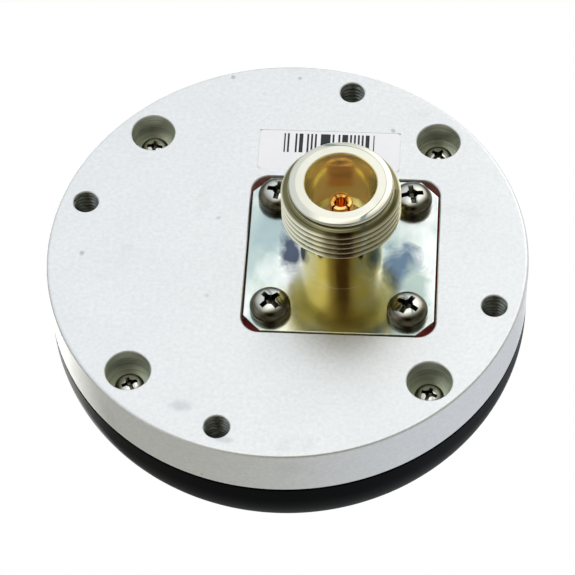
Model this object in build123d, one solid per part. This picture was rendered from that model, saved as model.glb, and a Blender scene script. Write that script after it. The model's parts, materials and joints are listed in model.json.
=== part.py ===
from build123d import *
import os
from math import cos, hypot, radians, sin, sqrt, tan

# Surface-mount satellite navigation antenna: aluminium base with a flanged coaxial
# socket below, moulded radome above, stacked patch antenna and amplifier inside.
# Millimetres.  The origin is the centre of the mounting face, +Z points to the radome.

# ---- overall sizes
body_d = 65.0            # outside diameter of base and radome
base_h = 8.0             # mounting face to the radome's seat
radome_h = 16.65         # radome above the base

# ---- clearances
slip = 0.02              # radial, thread crest or plug in its hole
seat_gap = 0.05          # each side of a loose part in its recess
board_gap = 0.8          # board edge to the wall around it

# ---- base plate
rim_chamfer = 0.45
seam_chamfer = 0.25      # on both sides of the joint between base and radome
recess_depth = 1.4       # shallow recess below the board
drill_tan = tan(radians(59))     # half angle of a twist drill's point

# ---- threaded mounting holes, M4 x 0.7
mount_hole_count = 4
mount_hole_first = 15.0  # degrees from +X
mount_hole_inset = 3.5   # hole centre to the outside of the base
mount_hole_r = 1.65      # drilled for the thread
mount_hole_depth = 6.0
mount_hole_chamfer = 0.3

# ---- case screws, M2 pan head, from below into inserts in the radome
case_screw_count = 4
case_screw_first = 45.0
case_screw_inset = 4.5
case_screw_d = 2.0
case_screw_head_d = 4.0
case_screw_head_h = 1.6
case_screw_below = 3.0   # top of the head to the mounting face
case_screw_length = 8.0
case_screw_hole_d = 2.4
counterbore_d = 6.0
insert_d = 3.2
insert_length = 4.0

# ---- radome
radome_wall = 2.2
radome_side_h = 2.5      # straight part of the side
crown_r = 110.8          # radius of the crown's outside
boss_r = 3.2
boss_tip_gap = 0.6       # case screw's tip to the end of its hole
seal_width = 1.1
seal_h = 0.8
seal_offset = 0.75       # outside of the radome to the seal

# ---- flanged coaxial socket, type N
connector_x = 7.4
flange_side = 25.4
flange_t = 1.6
flange_corner = 2.4      # chamfer on the flange's corners
flange_hole_d = 3.2
flange_hole_pitch = 18.24
pocket_gap = 0.25        # flange edge to the pocket's wall
pocket_corner_r = 2.6
pocket_depth = 2.2
gasket_t = 0.5
gasket_hole_d = 6.0
barrel_d = 11.1
barrel_length = 8.3      # mounting face to the threaded head
thread_d = 15.8          # crest of the 5/8-24 thread
jack_length = 16.2       # mounting face to the front ring
front_ring_d = 13.7
head_back_chamfer = 1.6
jack_bore_d = 8.1
mouth_d = 9.5
jack_bore_depth = 9.1    # front ring to the contact plane
insulator_front_d = 7.0
insulator_rear_d = 4.1
insulator_shoulder = 1.0     # mounting face to the step in the insulator
signal_hole_gap = 0.1

# ---- centre contact
contact_d = 3.04
contact_bore_d = 1.62
contact_recess = 4.1     # front ring to the contact's tip
contact_bore_depth = 4.6
contact_anchor = 1.6     # full diameter inside the insulator
contact_slot_w = 0.25
contact_slot_length = 3.5
contact_slot_count = 4
contact_stem_d = 2.0
contact_pin_d = 1.3

# ---- flange screws, M3 pan head
flange_screw_d = 3.0
flange_screw_head_d = 5.5
flange_screw_head_h = 2.2
flange_screw_floor = 0.6     # thread tip to the recess floor

# ---- cross recess of every screw
recess_share = 0.52      # tip to tip, as a share of the head's diameter
recess_slot_share = 0.16
recess_depth_share = 0.5

# ---- board and its standoffs
board_t = 1.6
board_hole_d = 2.2
standoff_count = 4
standoff_h = 3.6
standoff_flats = 4.5
standoff_inset = 2.3     # board edge to the standoff's centre
standoff_stud_d = 2.5
standoff_stud_length = 2.4
standoff_bore_depth = 3.2
board_screw_d = 2.0
board_screw_head_d = 3.8
board_screw_head_h = 1.3
board_screw_length = 4.4

# ---- stacked patch antenna
board_adhesive_t = 0.3
patch_adhesive_t = 0.4
patch_margin = 1.0       # patch corner to the board's edge
lower_patch_h = 4.0
patch_step = 3.5         # lower patch edge to upper patch edge
patch_top_gap = 0.4      # upper patch corner to the crown
electrode_t = 0.1
electrode_inset = 2.0
adhesive_inset = 1.0
feed_pin_d = 1.0
feed_pin_tail = 0.6      # below the board
feed_head_d = 2.0
feed_head_h = 0.25
lower_feed_y = -8.0
upper_feed_y = 6.0
pad_r = 8.0
pad_gap = 0.1

# ---- amplifier under its screening can, on the board's lower face
can_x = -10.0
can_length = 14.0
can_width = 18.0
can_h = 2.4
can_wall = 0.3
chips = (                # centre from the can's centre, size along X, size along Y, height
    (-3.2, 5.0, 3.0, 3.0, 0.9),
    (2.4, 4.6, 3.8, 3.8, 1.2),
    (-3.2, -0.4, 2.0, 2.0, 0.8),
    (2.8, -1.2, 2.9, 1.6, 1.1),
    (-3.4, -5.4, 1.6, 0.8, 0.8),
    (2.2, -5.6, 1.6, 0.8, 0.8),
)

# ---- serial label, in a shallow recess of the mounting face
label_length = 19.5
label_width = 6.7
label_t = 0.12
label_from_jack = -2.6   # along X
label_gap = 1.3          # socket's pocket to the label

# ---- worked out from the sizes above
body_r = body_d / 2
mount_circle_r = body_r - mount_hole_inset
case_circle_r = body_r - case_screw_inset
case_screw_seat = case_screw_below + case_screw_head_h
boss_hole_end = case_screw_seat + case_screw_length + boss_tip_gap
radome_bore_r = body_r - radome_wall
recess_r = case_circle_r - boss_r - 0.4
recess_floor = base_h - recess_depth
board_r = recess_r - board_gap
board_z = recess_floor + standoff_h
board_top = board_z + board_t
standoff_circle_r = board_r - standoff_inset
pocket_side = flange_side + 2 * pocket_gap
gasket_z = pocket_depth - gasket_t
flange_face = gasket_z - flange_t
contact_plane = jack_bore_depth - jack_length
contact_tip = contact_recess - jack_length
seal_outer_r = body_r - seal_offset
seal_inner_r = seal_outer_r - seal_width
crown_top = base_h + radome_h
crown_centre_z = crown_top - crown_r
shoulder_z = base_h + radome_side_h
shoulder_rise = radome_h - radome_side_h
# radius of the arc that meets both the straight side and the crown without a corner
shoulder_r = (2 * shoulder_rise * crown_r - body_r**2 - shoulder_rise**2) / (2 * (crown_r - body_r))
lower_patch_side = sqrt(2) * (board_r - patch_margin)
upper_patch_side = lower_patch_side - 2 * patch_step
lower_patch_z = board_top + board_adhesive_t
lower_electrode_z = lower_patch_z + lower_patch_h
patch_adhesive_z = lower_electrode_z + electrode_t
upper_patch_z = patch_adhesive_z + patch_adhesive_t


def crown_underside(r):
    """Height of the crown's inside face at radius r."""
    return crown_centre_z + sqrt((crown_r - radome_wall) ** 2 - r**2)


upper_electrode_z = crown_underside(upper_patch_side / sqrt(2)) - patch_top_gap - electrode_t
upper_patch_h = upper_electrode_z - upper_patch_z
pad_z = upper_electrode_z + electrode_t


# ---- helpers
def rod(r, z0, z1, x=0.0, y=0.0):
    """Round bar from z0 to z1."""
    return Pos(x, y, (z0 + z1) / 2) * Cylinder(r, abs(z1 - z0))


def slab(length, width, z0, z1, x=0.0, y=0.0):
    """Rectangular block from z0 to z1."""
    return Pos(x, y, (z0 + z1) / 2) * Box(length, width, abs(z1 - z0))


def ring(outer_r, inner_r, z0, z1):
    """Flat ring about the Z axis."""
    return rod(outer_r, z0, z1) - rod(inner_r, z0, z1)


def cone(r0, r1, z0, z1, x=0.0, y=0.0):
    """Truncated cone of radius r0 at z0 and r1 at z1, with z0 below z1."""
    return Pos(x, y, (z0 + z1) / 2) * Cone(r0, r1, z1 - z0)


def on_circle(radius, count, first=0.0):
    """Centres of equally spaced points on a circle."""
    angles = [radians(first + 360 * i / count) for i in range(count)]
    return [(radius * cos(a), radius * sin(a)) for a in angles]


def flange_screw_centres():
    """Centres of the four flange screws."""
    half = flange_hole_pitch / 2
    return [(connector_x + sx * half, sy * half) for sx in (-1, 1) for sy in (-1, 1)]


def rounded_square(side, corner_r, z0, z1):
    """Square block with round corners, on the socket's axis."""
    outline = RectangleRounded(side, side, corner_r)
    return Pos(connector_x, 0, z0) * extrude(outline, z1 - z0)


def pan_screw(shank_d, head_d, head_h, length):
    """Pan head screw, head down: seat at z=0, head below it, thread above."""
    edge = 0.42 * head_h
    head = fillet(rod(head_d / 2, -head_h, 0).edges().group_by(Axis.Z)[0], edge)
    slot = recess_slot_share * head_d
    reach = recess_share * head_d
    floor = -head_h + recess_depth_share * head_h
    cross = slab(reach, slot, -head_h, floor) + slab(slot, reach, -head_h, floor)
    return head - cross + rod(shank_d / 2, 0, length)


def group(solids):
    """Separate solids kept together in one node."""
    return Compound(children=list(solids))


def place(shape, centres, z):
    """A copy of the shape at each centre."""
    return group(Pos(x, y, z) * shape for x, y in centres)


# ---- base
def base_plate():
    body = rod(body_r, 0, base_h)
    body = chamfer(body.edges().group_by(Axis.Z)[0], rim_chamfer)
    body = chamfer(body.edges().group_by(Axis.Z)[-1], seam_chamfer)
    body -= rod(recess_r, recess_floor, base_h)
    body -= ring(seal_outer_r + seat_gap, seal_inner_r - seat_gap, base_h - seal_h, base_h)
    body -= rounded_square(pocket_side, pocket_corner_r, 0, pocket_depth)
    body -= rod(insulator_rear_d / 2 + signal_hole_gap, 0, base_h, connector_x)
    for x, y in flange_screw_centres():
        body -= rod(flange_screw_d / 2 + slip, 0, recess_floor - flange_screw_floor / 2, x, y)
    for x, y in on_circle(case_circle_r, case_screw_count, case_screw_first):
        body -= rod(counterbore_d / 2, 0, case_screw_seat, x, y)
        body -= rod(case_screw_hole_d / 2, 0, base_h, x, y)
    for x, y in on_circle(standoff_circle_r, standoff_count):
        depth = standoff_stud_length + 2 * slip
        body -= rod(standoff_stud_d / 2 + slip, recess_floor - depth, recess_floor, x, y)
    for x, y in on_circle(mount_circle_r, mount_hole_count, mount_hole_first):
        body -= mounting_hole(x, y)
    label_depth = label_t + slip
    x, y = label_centre()
    return body - slab(label_length + 2 * seat_gap, label_width + 2 * seat_gap, 0, label_depth, x, y)


def mounting_hole(x, y):
    """Drilled and tapped hole with a chamfered mouth and a pointed end."""
    wide = mount_hole_r + mount_hole_chamfer
    point = mount_hole_depth + (mount_hole_r - 0.02) / drill_tan
    hole = rod(mount_hole_r, 0, mount_hole_depth, x, y)
    hole += cone(wide, mount_hole_r, 0, mount_hole_chamfer, x, y)
    return hole + cone(mount_hole_r, 0.02, mount_hole_depth, point, x, y)


def base_seal_ring():
    return ring(seal_outer_r, seal_inner_r, base_h - seal_h, base_h)


def label_centre():
    """Centre of the serial label on the mounting face."""
    return connector_x + label_from_jack, -(pocket_side / 2 + label_gap + label_width / 2)


def serial_label():
    x, y = label_centre()
    return slab(label_length, label_width, slip, label_t + slip, x, y)


def case_screws():
    screw = pan_screw(case_screw_d, case_screw_head_d, case_screw_head_h, case_screw_length)
    return place(screw, on_circle(case_circle_r, case_screw_count, case_screw_first), case_screw_seat)


# ---- radome
def dome(inset):
    """Solid dome, inset from the radome's outside by a wall thickness."""
    side = body_r - inset
    shoulder_x = body_r - shoulder_r
    lean_x, lean_z = shoulder_x, shoulder_z - crown_centre_z
    lean = hypot(lean_x, lean_z)
    ux, uz = lean_x / lean, lean_z / lean
    arc_r = shoulder_r - inset
    join = (shoulder_x + arc_r * ux, shoulder_z + arc_r * uz)
    mid_x, mid_z = 1 + ux, uz
    mid = hypot(mid_x, mid_z)
    shoulder_mid = (shoulder_x + arc_r * mid_x / mid, shoulder_z + arc_r * mid_z / mid)
    top = (0, crown_top - inset)
    half_x = join[0] / 2
    crown_mid = (half_x, crown_centre_z + sqrt((crown_r - inset) ** 2 - half_x**2))
    outline = Polyline(top, (0, base_h), (side, base_h), (side, shoulder_z))
    outline += ThreePointArc((side, shoulder_z), shoulder_mid, join)
    outline += ThreePointArc(join, crown_mid, top)
    return revolve(Plane.XZ * make_face(outline), Axis.Z)


def radome():
    outside = dome(0)
    inside = dome(radome_wall)
    shell = chamfer(outside.edges().group_by(Axis.Z)[0], seam_chamfer) - inside
    for x, y in on_circle(case_circle_r, case_screw_count, case_screw_first):
        shell += rod(boss_r, base_h, crown_top, x, y) & dome(radome_wall / 2)
    for x, y in on_circle(case_circle_r, case_screw_count, case_screw_first):
        shell -= rod(insert_d / 2 + slip, base_h, base_h + insert_length, x, y)
        shell -= rod(case_screw_d / 2 + slip, base_h, boss_hole_end, x, y)
    return shell


def radome_inserts():
    insert = rod(insert_d / 2, 0, insert_length) - rod(case_screw_d / 2 + slip, 0, insert_length)
    return place(insert, on_circle(case_circle_r, case_screw_count, case_screw_first), base_h)


# ---- flanged socket
def connector_body():
    x = connector_x
    flange = slab(flange_side, flange_side, flange_face, gasket_z, x)
    flange = chamfer(flange.edges().filter_by(Axis.Z), flange_corner)
    front_chamfer = (thread_d - front_ring_d) / 2
    head = rod(thread_d / 2, front_chamfer - jack_length, -barrel_length, x)
    head = chamfer(head.edges().group_by(Axis.Z)[-1], head_back_chamfer)
    head += cone(front_ring_d / 2, thread_d / 2, -jack_length, front_chamfer - jack_length, x)
    body = flange + rod(barrel_d / 2, -barrel_length, flange_face, x) + head
    body -= rod(jack_bore_d / 2, -jack_length, contact_plane, x)
    mouth = (mouth_d - jack_bore_d) / 2
    body -= cone(mouth_d / 2, jack_bore_d / 2, -jack_length, mouth - jack_length, x)
    body -= rod(insulator_front_d / 2 + slip, contact_plane, -insulator_shoulder, x)
    body -= rod(insulator_rear_d / 2 + slip, -insulator_shoulder, gasket_z, x)
    for sx, sy in flange_screw_centres():
        body -= rod(flange_hole_d / 2, flange_face, gasket_z, sx, sy)
    return body


def connector_insulator():
    x = connector_x
    anchor_end = contact_plane + contact_anchor
    body = rod(insulator_front_d / 2, contact_plane, -insulator_shoulder, x)
    body += rod(insulator_rear_d / 2, -insulator_shoulder, recess_floor, x)
    body -= rod(contact_d / 2 + slip, contact_plane, anchor_end, x)
    body -= rod(contact_stem_d / 2 + slip, anchor_end, -insulator_shoulder, x)
    return body - rod(contact_pin_d / 2 + slip, -insulator_shoulder, recess_floor, x)


def connector_contact():
    x = connector_x
    anchor_end = contact_plane + contact_anchor
    pin_end = board_top - board_t / 4
    body = rod(contact_d / 2, contact_tip, anchor_end, x)
    body += rod(contact_stem_d / 2, anchor_end, -insulator_shoulder, x)
    body += rod(contact_pin_d / 2, -insulator_shoulder, pin_end, x)
    body -= rod(contact_bore_d / 2, contact_tip, contact_tip + contact_bore_depth, x)
    slot_end = contact_tip + contact_slot_length
    for i in range(contact_slot_count // 2):
        slot = slab(contact_d + 1, contact_slot_w, contact_tip, slot_end)
        body -= Pos(x, 0, 0) * Rot(0, 0, 45 + 360 * i / contact_slot_count) * slot
    return body


def connector_gasket():
    side = pocket_side - 2 * seat_gap
    body = rounded_square(side, pocket_corner_r - seat_gap, gasket_z, pocket_depth)
    body -= rod(gasket_hole_d / 2, gasket_z, pocket_depth, connector_x)
    for x, y in flange_screw_centres():
        body -= rod(flange_hole_d / 2, gasket_z, pocket_depth, x, y)
    return body


def flange_screws():
    length = recess_floor - flange_screw_floor - flange_face
    screw = pan_screw(flange_screw_d, flange_screw_head_d, flange_screw_head_h, length)
    return place(screw, flange_screw_centres(), flange_face)


# ---- board, its standoffs and the amplifier
def board_standoffs():
    body = extrude(RegularPolygon(standoff_flats / 2, 6, major_radius=False), standoff_h)
    body += rod(standoff_stud_d / 2, -standoff_stud_length, 0)
    body -= rod(board_screw_d / 2 + slip, standoff_h - standoff_bore_depth, standoff_h)
    return place(body, on_circle(standoff_circle_r, standoff_count), recess_floor)


def board_screws():
    length = board_screw_length
    screw = pan_screw(board_screw_d, board_screw_head_d, board_screw_head_h, length)
    return place(Rot(180, 0, 0) * screw, on_circle(standoff_circle_r, standoff_count), board_top)


def feed_holes(z0, z1):
    """Clearance holes for both feed pins."""
    wide = feed_pin_d / 2 + seat_gap
    return rod(wide, z0, z1, 0, lower_feed_y) + rod(wide, z0, z1, 0, upper_feed_y)


def antenna_board():
    body = rod(board_r, board_z, board_top) - feed_holes(board_z, board_top)
    body -= rod(contact_pin_d / 2 + seat_gap, board_z, board_top, connector_x)
    for x, y in on_circle(standoff_circle_r, standoff_count):
        body -= rod(board_hole_d / 2, board_z, board_top, x, y)
    return body


def shield_can():
    inner = 2 * can_wall
    outside = slab(can_length, can_width, board_z - can_h, board_z, can_x)
    floor = board_z - can_h + can_wall
    return outside - slab(can_length - inner, can_width - inner, floor, board_z, can_x)


def amplifier_components():
    return group(slab(l, w, board_z - h, board_z, can_x + x, y) for x, y, l, w, h in chips)


# ---- stacked patches
def board_adhesive():
    side = lower_patch_side - 2 * adhesive_inset
    body = slab(side, side, board_top, lower_patch_z) - feed_holes(board_top, lower_patch_z)
    return body - rod(contact_pin_d, board_top, lower_patch_z, connector_x)


def lower_patch():
    body = slab(lower_patch_side, lower_patch_side, lower_patch_z, lower_electrode_z)
    return body - feed_holes(lower_patch_z, lower_electrode_z)


def lower_electrode():
    side = lower_patch_side - 2 * electrode_inset
    body = slab(side, side, lower_electrode_z, patch_adhesive_z)
    return body - feed_holes(lower_electrode_z, patch_adhesive_z)


def patch_adhesive():
    side = upper_patch_side - 2 * adhesive_inset
    body = slab(side, side, patch_adhesive_z, upper_patch_z) - feed_holes(patch_adhesive_z, upper_patch_z)
    return body - rod(feed_head_d / 2 + seat_gap, patch_adhesive_z, upper_patch_z, 0, lower_feed_y)


def upper_patch():
    body = slab(upper_patch_side, upper_patch_side, upper_patch_z, upper_electrode_z)
    return body - rod(feed_pin_d / 2 + seat_gap, upper_patch_z, upper_electrode_z, 0, upper_feed_y)


def upper_electrode():
    side = upper_patch_side - 2 * electrode_inset
    body = slab(side, side, upper_electrode_z, pad_z)
    return body - rod(feed_pin_d / 2 + seat_gap, upper_electrode_z, pad_z, 0, upper_feed_y)


def feed_pin(top, y):
    """Feed pin with a flat head that lies on its electrode."""
    shank = rod(feed_pin_d / 2, board_z - feed_pin_tail, top, 0, y)
    return shank + rod(feed_head_d / 2, top, top + feed_head_h, 0, y)


def feed_pins():
    return group([feed_pin(patch_adhesive_z, lower_feed_y), feed_pin(pad_z, upper_feed_y)])


def foam_pad():
    body = rod(pad_r, pad_z, crown_underside(pad_r) - pad_gap)
    return body - rod(feed_head_d / 2 + seat_gap, pad_z, crown_top, 0, upper_feed_y)


NODES = (
    base_plate, base_seal_ring, serial_label, case_screws,
    radome, radome_inserts,
    connector_body, connector_insulator, connector_contact, connector_gasket, flange_screws,
    board_standoffs, board_screws, antenna_board, shield_can, amplifier_components,
    board_adhesive, lower_patch, lower_electrode, patch_adhesive, upper_patch, upper_electrode,
    feed_pins, foam_pad,
)

os.makedirs("parts", exist_ok=True)
for node in NODES:
    export_step(node(), f"parts/{node.__name__}.step")
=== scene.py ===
"""Looks of a surface-mount satellite navigation antenna: aluminium base, black radome, flanged socket."""

import bpy
import json
from math import acos, cos, hypot, pi, sin, tan
from mathutils import Matrix, Vector


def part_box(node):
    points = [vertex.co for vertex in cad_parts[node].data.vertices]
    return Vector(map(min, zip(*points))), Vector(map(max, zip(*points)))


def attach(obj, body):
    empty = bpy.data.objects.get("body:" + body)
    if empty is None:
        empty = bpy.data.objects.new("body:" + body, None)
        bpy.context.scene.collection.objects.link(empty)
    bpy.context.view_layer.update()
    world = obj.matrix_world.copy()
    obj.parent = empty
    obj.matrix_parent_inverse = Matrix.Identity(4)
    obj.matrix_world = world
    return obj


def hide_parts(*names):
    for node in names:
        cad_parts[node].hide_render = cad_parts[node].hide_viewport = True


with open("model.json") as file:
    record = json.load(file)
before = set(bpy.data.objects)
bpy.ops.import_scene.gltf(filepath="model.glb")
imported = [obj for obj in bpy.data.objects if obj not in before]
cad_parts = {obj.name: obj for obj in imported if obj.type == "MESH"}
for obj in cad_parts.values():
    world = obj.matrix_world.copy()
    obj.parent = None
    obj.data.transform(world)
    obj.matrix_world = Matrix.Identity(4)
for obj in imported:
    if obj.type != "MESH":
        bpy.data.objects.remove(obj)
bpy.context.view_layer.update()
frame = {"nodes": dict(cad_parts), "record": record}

MM = 0.001
DEG = pi / 180


# ---------------------------------------------------------------- sizes, in millimetres
def span(node):
    """Lowest and highest corner of a node, in millimetres."""
    low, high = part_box(node)
    return low / MM, high / MM


BASE_HIGH = span("base_plate")[1]
RADOME_HIGH = span("radome")[1]
JACK_LOW, JACK_HIGH = span("connector_body")
CONTACT_LOW, CONTACT_HIGH = span("connector_contact")
INSULATOR_LOW, INSULATOR_HIGH = span("connector_insulator")
GASKET_LOW, GASKET_HIGH = span("connector_gasket")
CASE_LOW, CASE_HIGH = span("case_screws")
FLANGE_LOW, FLANGE_HIGH = span("flange_screws")
STANDOFF_LOW, STANDOFF_HIGH = span("board_standoffs")
LABEL_LOW, LABEL_HIGH = span("serial_label")
INSERT_HIGH = span("radome_inserts")[1]

BODY_R = BASE_HIGH.x
BASE_H = BASE_HIGH.z
JACK_X = (JACK_LOW.x + JACK_HIGH.x) / 2
FRONT_Z = JACK_LOW.z

# base plate
RIM_EDGE = 0.45
SEAM_EDGE = 0.25
RECESS_FLOOR = INSULATOR_HIGH.z
RECESS_R = BODY_R - 8.1
SEAL_GROOVE_R = (BODY_R - 1.9, BODY_R - 0.7)
SEAL_GROOVE_DEPTH = 0.8
MOUTH_EDGE = 0.12       # how far a hole's broken edge goes in
POCKET_SIDE = GASKET_HIGH.y - GASKET_LOW.y + 0.1
POCKET_CORNER = 2.6
POCKET_DEPTH = GASKET_HIGH.z
SIGNAL_HOLE_R = 2.15
STUD_CIRCLE = STANDOFF_HIGH.y - 2.25
STUD_HOLE_R = 1.27
STUD_HOLE_LOW = STANDOFF_LOW.z - 0.04
LABEL_GAP = 0.02        # label to the wall of its shallow seat
LABEL_CORNER = 0.6
LABEL_BAR_W = 0.27

# threaded mounting holes, M4 x 0.7
MOUNT_CIRCLE = BODY_R - 3.5
MOUNT_FIRST = 15.0
MOUNT_DRILL_R = 1.65
MOUNT_THREAD_R = 2.0
MOUNT_PITCH = 0.7
MOUNT_DEPTH = 6.0
MOUNT_THREAD_LOW = 0.62     # centre of the first ridge
MOUNT_TURNS = 7
MOUNT_STARTS = (0, 90, 200, 310)    # angle that each thread starts at

# case screws, M2 pan head, in counterbores
CASE_CIRCLE = BODY_R - 4.5
CASE_HEAD_R = 2.0
CASE_HEAD_H = 1.6
CASE_SHANK_R = 1.0
CASE_SEAT = CASE_LOW.z + CASE_HEAD_H
COUNTERBORE_R = 3.0
CASE_HOLE_R = 1.2

# flange screws, M3 pan head
FLANGE_HEAD_R = 2.75
FLANGE_HEAD_H = 2.2
FLANGE_SHANK_R = 1.5
FLANGE_SEAT = FLANGE_LOW.z + FLANGE_HEAD_H
FLANGE_PITCH = FLANGE_HIGH.y - FLANGE_LOW.y - 2 * FLANGE_HEAD_R
FLANGE_TAP_R = FLANGE_SHANK_R + 0.02
FLANGE_TAP_END = RECESS_FLOOR - 0.3

# shape of a pan head, as shares of its height and its radius
HEAD_SIDE = 0.34
CROSS_REACH = 0.68
CROSS_HALF_W = 0.14
CROSS_DEPTH = 0.55
POINT_DEPTH = 0.62

# radome
RADOME_WALL = 2.2
RADOME_SIDE_H = 2.5
CROWN_R = 110.8
BOSS_R = 3.2
BOSS_TOP = BASE_H + 7.4
INSERT_BORE_R = 1.62
TIP_BORE_R = 1.02
TIP_BORE_END = CASE_HIGH.z + 0.6

# flanged socket, type N
FLANGE_SIDE = JACK_HIGH.y - JACK_LOW.y
FLANGE_FACE = 0.1
FLANGE_CORNER = 2.4
FLANGE_EDGE = 0.14
FLANGE_HOLE_R = 1.6
BARREL_R = 5.55
NECK_Z = -8.3           # back of the threaded head
HEAD_BACK_R = 6.3
HEAD_BACK_Z = NECK_Z - 1.0
THREAD_R = 7.9
THREAD_ROOT_R = 7.28
THREAD_PITCH = 1.058
THREAD_START = -14.65
THREAD_TURNS = 5
RELIEF_R = 6.6
RELIEF_LOW = FRONT_Z + 0.75
RELIEF_HIGH = RELIEF_LOW + 0.25
FRONT_RING_R = 6.85
MOUTH_R = 4.75
MOUTH_DEPTH = 0.35
TAPER_END = 1.6         # front ring to the end of the bore's taper
JACK_BORE_R = 4.05
INSULATOR_R = 3.52      # hole for the insulator's front
INSULATOR_REAR_R = 2.07
INSULATOR_STEP = -1.0
CONTACT_PLANE = INSULATOR_LOW.z

# centre contact
CONTACT_R = 1.52
CONTACT_BORE_R = 0.81
CONTACT_BORE_DEPTH = 4.6
CONTACT_SLOT_W = 0.28
CONTACT_SLOT_LENGTH = 3.5
CONTACT_ANCHOR = 1.6    # full diameter inside the insulator
STEM_R = 1.0
PIN_R = 0.65


# ---------------------------------------------------------------- modelling helpers
def idle():
    """Object mode with nothing selected."""
    if bpy.context.mode != "OBJECT":
        bpy.ops.object.mode_set(mode="OBJECT")
    bpy.ops.object.select_all(action="DESELECT")


def pick(piece):
    """Only this piece selected and active."""
    idle()
    piece.select_set(True)
    bpy.context.view_layer.objects.active = piece


def settle(piece):
    """The piece's place goes into its mesh."""
    pick(piece)
    bpy.ops.object.transform_apply(location=True, rotation=True, scale=True)
    return piece


def use(piece, kind, **settings):
    """A modifier with these settings, applied at once."""
    pick(piece)
    modifier = piece.modifiers.new(kind.lower(), kind)
    for key, value in settings.items():
        setattr(modifier, key, value)
    bpy.ops.object.modifier_apply(modifier=modifier.name)
    return piece


def combine(piece, tool, operation, **settings):
    """Joins, cuts or trims a piece with a tool, which is used up."""
    use(piece, "BOOLEAN", operation=operation, object=tool, solver="EXACT", **settings)
    bpy.data.objects.remove(tool)
    return piece


def add(piece, tool):
    return combine(piece, tool, "UNION")


def cut(piece, tool):
    return combine(piece, tool, "DIFFERENCE")


def trim(piece, tool):
    return combine(piece, tool, "INTERSECT")


def turned(name, outline, centre=(0.0, 0.0), sides=128):
    """A lathe-turned piece: a disc extruded and resized through (radius, height) stations."""
    idle()
    x, y = centre[0] * MM, centre[1] * MM
    radius, height = outline[0]
    bpy.ops.mesh.primitive_circle_add(
        vertices=sides, radius=radius * MM, fill_type="NGON", location=(x, y, height * MM)
    )
    piece = settle(bpy.context.object)
    piece.name = name
    bpy.ops.object.mode_set(mode="EDIT")
    bpy.ops.mesh.select_all(action="SELECT")
    for (r0, z0), (r1, z1) in zip(outline, outline[1:]):
        bpy.ops.mesh.extrude_region_move(TRANSFORM_OT_translate={"value": (0, 0, (z1 - z0) * MM)})
        bpy.ops.transform.resize(value=(r1 / r0, r1 / r0, 1), center_override=(x, y, z1 * MM))
    bpy.ops.mesh.select_all(action="SELECT")
    bpy.ops.mesh.normals_make_consistent(inside=False)
    bpy.ops.object.mode_set(mode="OBJECT")
    return piece


def block(name, low, high):
    """A rectangular block between two corners, in millimetres."""
    idle()
    low, high = Vector(low) * MM, Vector(high) * MM
    bpy.ops.mesh.primitive_cube_add(size=1, location=(low + high) / 2)
    piece = bpy.context.object
    piece.name = name
    piece.scale = high - low
    return settle(piece)


def bevel_edges(piece, chosen, width, segments):
    """Bevels the edges that a test on their two ends, in millimetres, chooses."""
    pick(piece)
    bpy.ops.object.mode_set(mode="EDIT")
    bpy.ops.mesh.select_mode(type="EDGE")
    bpy.ops.mesh.select_all(action="DESELECT")
    bpy.ops.object.mode_set(mode="OBJECT")
    points = piece.data.vertices
    for edge in piece.data.edges:
        a, b = (points[i].co / MM for i in edge.vertices)
        edge.select = chosen(a, b)
    bpy.ops.object.mode_set(mode="EDIT")
    bpy.ops.mesh.bevel(offset=width * MM, segments=segments)
    bpy.ops.object.mode_set(mode="OBJECT")
    return piece


def choose_faces(piece, chosen):
    """Edit mode with only the faces selected that a test on the face chooses."""
    pick(piece)
    bpy.ops.object.mode_set(mode="EDIT")
    bpy.ops.mesh.select_mode(type="FACE")
    bpy.ops.mesh.select_all(action="DESELECT")
    bpy.ops.object.mode_set(mode="OBJECT")
    for face in piece.data.polygons:
        face.select = chosen(face)
    bpy.ops.object.mode_set(mode="EDIT")


def upright(a, b):
    """True for an edge along Z."""
    return abs(a.z - b.z) > 1e-3 and (a - b).xy.length < 1e-3


def ridge(name, root, crest, flat, pitch, low, turns, centre=(0.0, 0.0), steps=64):
    """One thread's ridge: a tapered section screwed up the axis, with closed ends."""
    idle()
    bpy.ops.mesh.primitive_plane_add(size=1)
    piece = bpy.context.object
    piece.name = name
    section = ((root, -0.49 * pitch), (crest, -flat / 2), (root, 0.49 * pitch), (crest, flat / 2))
    for vertex, (r, z) in zip(piece.data.vertices, section):
        vertex.co = Vector((r, 0, z)) * MM
    bpy.ops.object.mode_set(mode="EDIT")
    bpy.ops.mesh.select_all(action="SELECT")
    bpy.ops.mesh.delete(type="ONLY_FACE")
    bpy.ops.object.mode_set(mode="OBJECT")
    use(piece, "SCREW", screw_offset=pitch * MM, iterations=turns, steps=steps, render_steps=steps)
    bpy.ops.object.mode_set(mode="EDIT")
    bpy.ops.mesh.select_all(action="SELECT")
    bpy.ops.mesh.fill_holes(sides=4)
    bpy.ops.mesh.normals_make_consistent(inside=False)
    bpy.ops.object.mode_set(mode="OBJECT")
    piece.location = Vector((centre[0], centre[1], low)) * MM
    return settle(piece)


def copies(piece, centres, turns):
    """Copies of a piece at these centres, each turned by its own angle, joined in one object."""
    made = []
    for (x, y), turn in zip(centres, turns):
        pick(piece)
        bpy.ops.object.duplicate()
        copy = bpy.context.object
        copy.rotation_euler.z = turn * DEG
        copy.location = (x * MM, y * MM, 0)
        made.append(settle(copy))
    name = piece.name
    bpy.data.objects.remove(piece)
    whole = joined(*made)
    whole.name = name
    return whole


def joined(*pieces):
    """Closed shells that overlap, kept in the first one's object."""
    idle()
    for piece in pieces:
        piece.select_set(True)
    bpy.context.view_layer.objects.active = pieces[0]
    bpy.ops.object.join()
    return pieces[0]


def arc(x, z, r, first, last, count):
    """Points of an arc in the outline's plane, from one angle to another in degrees."""
    angles = [(first + (last - first) * i / count) * DEG for i in range(count + 1)]
    return [(x + r * cos(a), z + r * sin(a)) for a in angles]


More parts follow.
